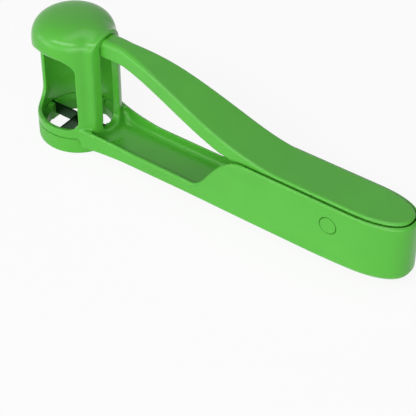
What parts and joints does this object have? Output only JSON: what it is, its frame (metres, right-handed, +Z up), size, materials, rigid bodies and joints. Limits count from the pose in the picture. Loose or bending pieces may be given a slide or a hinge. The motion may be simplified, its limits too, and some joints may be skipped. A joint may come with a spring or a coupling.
{
  "type": "grape cutter",
  "caption": "One-hand squeeze cutter: a sprung lever swings down over an arm and drives a grooved pusher through a round chamber, pressing a grape through crossed blades.",
  "frame": {"origin": "middle of the tool's length and width, at the foot of the blade ring", "axes": "+X along the tool from the chamber to the grip's end, +Z up along the chamber's axis, the loading window on the -Y side"},
  "size_m": [0.1896, 0.0366, 0.0616],
  "materials": {
    "body_plastic": "satin moulded",
    "lever_plastic": "satin moulded",
    "pusher_plastic": "satin moulded",
    "ring_plastic": "satin moulded",
    "pin_steel": "drawn",
    "spring_steel": "drawn wire",
    "blade_steel": "ground",
    "screw_steel": "plated"
  },
  "bodies": {
    "base": {"body": "body_plastic", "axle": "pin_steel", "cap_left": "body_plastic", "cap_right": "body_plastic", "return_spring": "spring_steel", "blade_ring": "ring_plastic", "blade_lengthwise": "blade_steel", "blade_crosswise": "blade_steel", "ring_screws": "screw_steel"},
    "lever": {"lever": "lever_plastic"},
    "pusher": {"pusher": "pusher_plastic", "pusher_pin": "pin_steel"}
  },
  "joints": [
    {"name": "lever_swing", "type": "hinge", "parent": "base", "child": "lever", "pos_m": [0.0621, 0, 0.0224], "axis": [0, -1, 0], "range_deg": [0, 17.1], "stiffness_Nm_per_rad": 0.5, "springref_deg": -17.19, "deforming": ["return_spring"]},
    {"name": "pusher_level", "type": "hinge", "parent": "lever", "child": "pusher", "pos_m": [-0.0733, 0, 0.0537], "axis": [0, -1, 0], "range_deg": [-17.1, 0]}
  ],
  "couplings": [
    {"joint": "pusher_level", "follows": "lever_swing", "ratio": -1}
  ]
}
